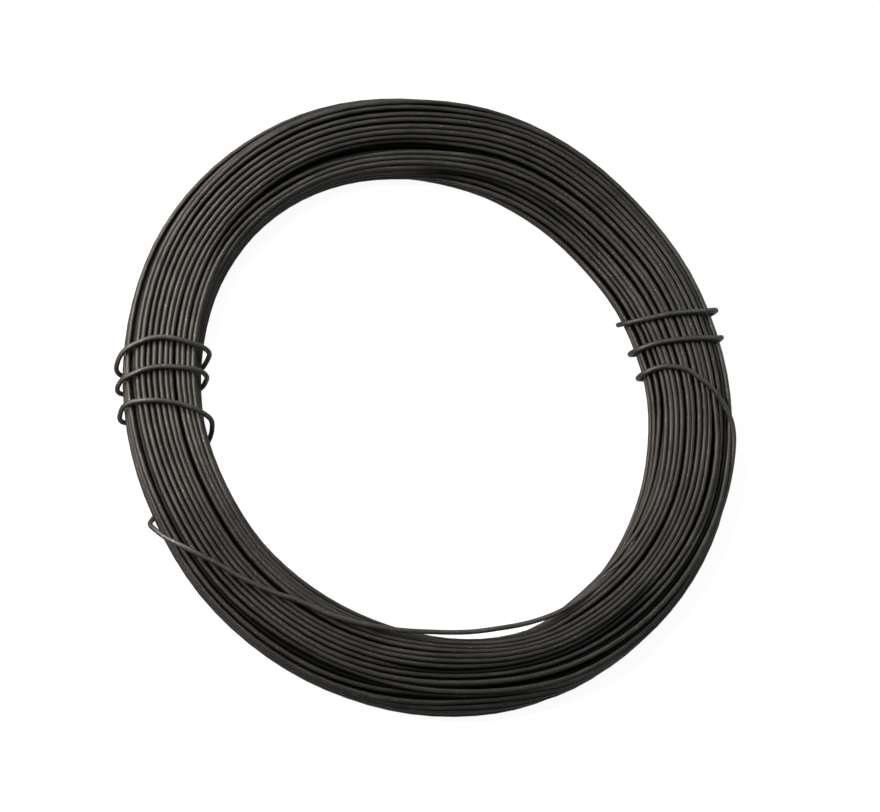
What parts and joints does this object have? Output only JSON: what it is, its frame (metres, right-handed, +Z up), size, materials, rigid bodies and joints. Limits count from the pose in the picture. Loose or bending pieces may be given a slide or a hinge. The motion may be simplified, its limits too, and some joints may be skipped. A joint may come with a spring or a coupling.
{
  "type": "coil of binding wire",
  "caption": "Flat hand-wound coil of black annealed binding wire, tied with lashings of its own two ends.",
  "frame": {"origin": "on the floor, at the coil's axis, in the middle of the open bore", "axes": "+Z up along the coil's axis, +X towards the lashing of the outer end, -X towards the lashing of the inner end"},
  "size_m": [0.1539, 0.1512, 0.0116],
  "materials": {
    "black_annealed_steel": "black annealed, dull scale with a soft sheen"
  },
  "bodies": {
    "root": {"binding_wire": "black_annealed_steel"}
  },
  "joints": []
}
